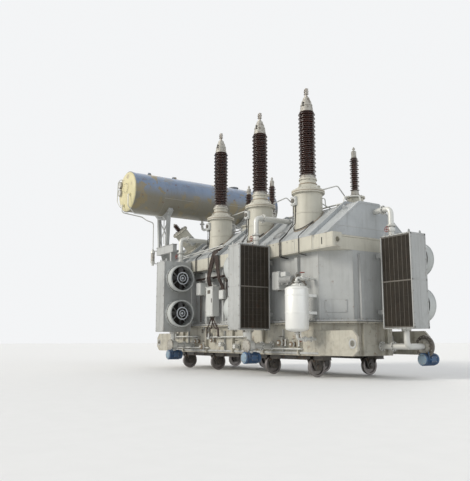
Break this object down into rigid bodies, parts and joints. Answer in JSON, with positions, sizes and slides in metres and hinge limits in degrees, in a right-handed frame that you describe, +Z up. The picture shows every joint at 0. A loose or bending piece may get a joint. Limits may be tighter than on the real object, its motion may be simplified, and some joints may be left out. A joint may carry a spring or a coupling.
{
  "type": "power transformer",
  "caption": "Large oil-filled power transformer on roller wheels, with tall porcelain bushings, conservator drum and fan coolers.",
  "frame": {"origin": "on the floor, under the middle of the whole unit's box", "axes": "+X along the tank towards the end cooler, -Y out of the high-voltage side, +Z up"},
  "size_m": [11.72, 6.83, 8.48],
  "materials": {
    "tank_paint": "aged light grey paint with rust at the edges",
    "drum_paint": "weathered blue-grey paint, peeling in patches",
    "porcelain": "dark brown glaze",
    "cap_metal": "dull cast metal",
    "core_paint": "near-black painted fins",
    "rotor_paint": "dark satin paint",
    "pipe_paint": "aged light grey paint",
    "dark_steel": "oily dark paint with rust",
    "roller_steel": "rusty rims with worn treads",
    "vessel_paint": "white paint with stains"
  },
  "bodies": {
    "tank": {"lower_tank": "tank_paint", "bell_tank": "tank_paint", "eave_beam": "tank_paint", "shoulder_roof": "tank_paint", "mv_turret_bank": "tank_paint", "neutral_turret": "tank_paint", "side_turret": "tank_paint", "conservator_front_support": "tank_paint", "conservator_rear_support": "tank_paint", "hv_turret_1": "tank_paint", "hv_porcelain_1": "porcelain", "hv_cap_1": "cap_metal", "mv_bushing_1": "porcelain", "hv_turret_2": "tank_paint", "hv_porcelain_2": "porcelain", "hv_cap_2": "cap_metal", "mv_bushing_2": "porcelain", "hv_turret_3": "tank_paint", "hv_porcelain_3": "porcelain", "hv_cap_3": "cap_metal", "mv_bushing_3": "porcelain", "neutral_bushing": "porcelain", "side_bushing": "porcelain", "conservator_shell": "drum_paint", "conservator_front_end": "drum_paint", "conservator_rear_end": "drum_paint", "relay_pipe": "pipe_paint", "left_cooler_housing": "tank_paint", "left_cooler_core": "core_paint", "left_cooler_top_pipe": "pipe_paint", "left_cooler_pump_line": "pipe_paint", "right_cooler_housing": "tank_paint", "right_cooler_core": "core_paint", "right_cooler_top_pipe": "pipe_paint", "right_cooler_pump_line": "pipe_paint", "end_cooler_housing": "tank_paint", "end_cooler_core": "core_paint", "end_cooler_top_pipe": "pipe_paint", "end_cooler_pump_line": "pipe_paint", "front_carriage": "dark_steel", "rear_carriage": "dark_steel", "filter_vessel": "vessel_paint", "control_cabinet": "vessel_paint"},
    "left_cooler_upper_fan": {"left_cooler_upper_fan": "rotor_paint"},
    "left_cooler_lower_fan": {"left_cooler_lower_fan": "rotor_paint"},
    "right_cooler_upper_fan": {"right_cooler_upper_fan": "rotor_paint"},
    "right_cooler_lower_fan": {"right_cooler_lower_fan": "rotor_paint"},
    "end_cooler_upper_fan": {"end_cooler_upper_fan": "rotor_paint"},
    "end_cooler_lower_fan": {"end_cooler_lower_fan": "rotor_paint"},
    "front_wheel_1": {"front_wheel_1": "roller_steel"},
    "front_wheel_2": {"front_wheel_2": "roller_steel"},
    "front_wheel_3": {"front_wheel_3": "roller_steel"},
    "front_wheel_4": {"front_wheel_4": "roller_steel"},
    "rear_wheel_1": {"rear_wheel_1": "roller_steel"},
    "rear_wheel_2": {"rear_wheel_2": "roller_steel"},
    "rear_wheel_3": {"rear_wheel_3": "roller_steel"},
    "rear_wheel_4": {"rear_wheel_4": "roller_steel"}
  },
  "joints": [
    {"name": "left_cooler_upper_fan_spin", "type": "hinge", "parent": "tank", "child": "left_cooler_upper_fan", "pos_m": [-2.51, -2.125, 3.095], "axis": [1, 0, 0], "continuous": true},
    {"name": "left_cooler_lower_fan_spin", "type": "hinge", "parent": "tank", "child": "left_cooler_lower_fan", "pos_m": [-2.51, -2.125, 1.895], "axis": [1, 0, 0], "continuous": true},
    {"name": "right_cooler_upper_fan_spin", "type": "hinge", "parent": "tank", "child": "right_cooler_upper_fan", "pos_m": [1.15, -2.125, 3.095], "axis": [-1, 0, 0], "continuous": true},
    {"name": "right_cooler_lower_fan_spin", "type": "hinge", "parent": "tank", "child": "right_cooler_lower_fan", "pos_m": [1.15, -2.125, 1.895], "axis": [-1, 0, 0], "continuous": true},
    {"name": "end_cooler_upper_fan_spin", "type": "hinge", "parent": "tank", "child": "end_cooler_upper_fan", "pos_m": [5.335, 0.725, 3.095], "axis": [0, 1, 0], "continuous": true},
    {"name": "end_cooler_lower_fan_spin", "type": "hinge", "parent": "tank", "child": "end_cooler_lower_fan", "pos_m": [5.335, 0.725, 1.895], "axis": [0, 1, 0], "continuous": true},
    {"name": "front_wheel_1_roll", "type": "hinge", "parent": "tank", "child": "front_wheel_1", "pos_m": [-3.89, -0.965, 0.27462], "axis": [1, 0, 0], "continuous": true},
    {"name": "front_wheel_2_roll", "type": "hinge", "parent": "tank", "child": "front_wheel_2", "pos_m": [-1.92, -0.965, 0.27462], "axis": [1, 0, 0], "continuous": true},
    {"name": "front_wheel_3_roll", "type": "hinge", "parent": "tank", "child": "front_wheel_3", "pos_m": [1.2, -0.965, 0.27462], "axis": [1, 0, 0], "continuous": true},
    {"name": "front_wheel_4_roll", "type": "hinge", "parent": "tank", "child": "front_wheel_4", "pos_m": [3.17, -0.965, 0.27462], "axis": [1, 0, 0], "continuous": true},
    {"name": "rear_wheel_1_roll", "type": "hinge", "parent": "tank", "child": "rear_wheel_1", "pos_m": [-3.89, 1.035, 0.27462], "axis": [1, 0, 0], "continuous": true},
    {"name": "rear_wheel_2_roll", "type": "hinge", "parent": "tank", "child": "rear_wheel_2", "pos_m": [-1.92, 1.035, 0.27462], "axis": [1, 0, 0], "continuous": true},
    {"name": "rear_wheel_3_roll", "type": "hinge", "parent": "tank", "child": "rear_wheel_3", "pos_m": [1.2, 1.035, 0.27462], "axis": [1, 0, 0], "continuous": true},
    {"name": "rear_wheel_4_roll", "type": "hinge", "parent": "tank", "child": "rear_wheel_4", "pos_m": [3.17, 1.035, 0.27462], "axis": [1, 0, 0], "continuous": true}
  ]
}
